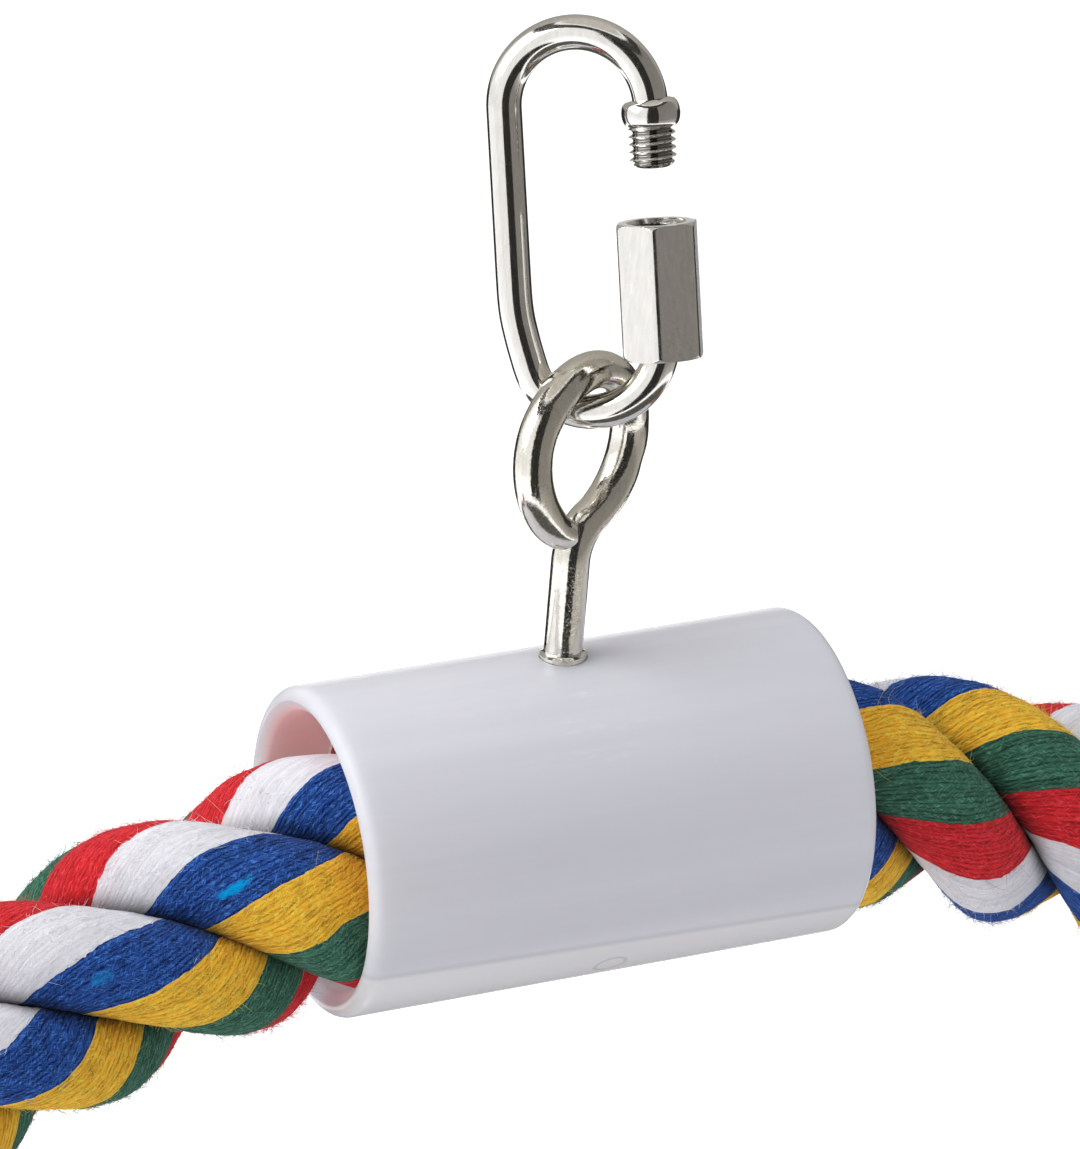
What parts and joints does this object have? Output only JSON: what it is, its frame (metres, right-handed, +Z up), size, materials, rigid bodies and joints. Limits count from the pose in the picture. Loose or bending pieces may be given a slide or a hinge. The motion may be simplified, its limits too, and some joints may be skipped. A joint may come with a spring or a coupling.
{
  "type": "bird swing",
  "caption": "Hanging ring swing for a pet bird: twisted striped cotton rope on a wire core, joined in a plastic sleeve under an eye bolt and an open quick link.",
  "frame": {"origin": "Inside top of the quick link's upper bow, where the cage bar sits.", "axes": "+Z up, X along the joiner sleeve and across the ring, Y through the ring; the front is -Y."},
  "size_m": [0.3042, 0.0334, 0.3736],
  "materials": {
    "link_steel": "bright plated steel rod with faint draw lines",
    "nut_steel": "bright plated steel, lightly rounded corners",
    "bolt_steel": "bright plated steel wire with tool dents",
    "sleeve_plastic": "smooth white gloss",
    "wire_steel": "plain drawn wire",
    "rope_cotton": "soft spun yarn in red, white, blue, yellow and green bands",
    "tape_cloth": "plain woven binding tape"
  },
  "bodies": {
    "link": {"quick_link": "link_steel"},
    "nut": {"link_nut": "nut_steel"},
    "swing": {"eye_bolt": "bolt_steel", "joiner_sleeve": "sleeve_plastic", "core_wire": "wire_steel", "rope_strand_1": "rope_cotton", "rope_strand_2": "rope_cotton", "rope_strand_3": "rope_cotton", "rope_end_tape_left": "tape_cloth", "rope_end_tape_right": "tape_cloth"}
  },
  "joints": [
    {"name": "nut_travel", "type": "slide", "parent": "link", "child": "nut", "axis": [0.0291, 0.2031, 0.9787], "range_m": [0, 0.0091]},
    {"name": "swing_hinge", "type": "hinge", "parent": "link", "child": "swing", "pos_m": [-0.00204, -0.00652, -0.03495], "axis": [0.809, -0.5878, 0], "range_deg": [-60, 28]}
  ]
}
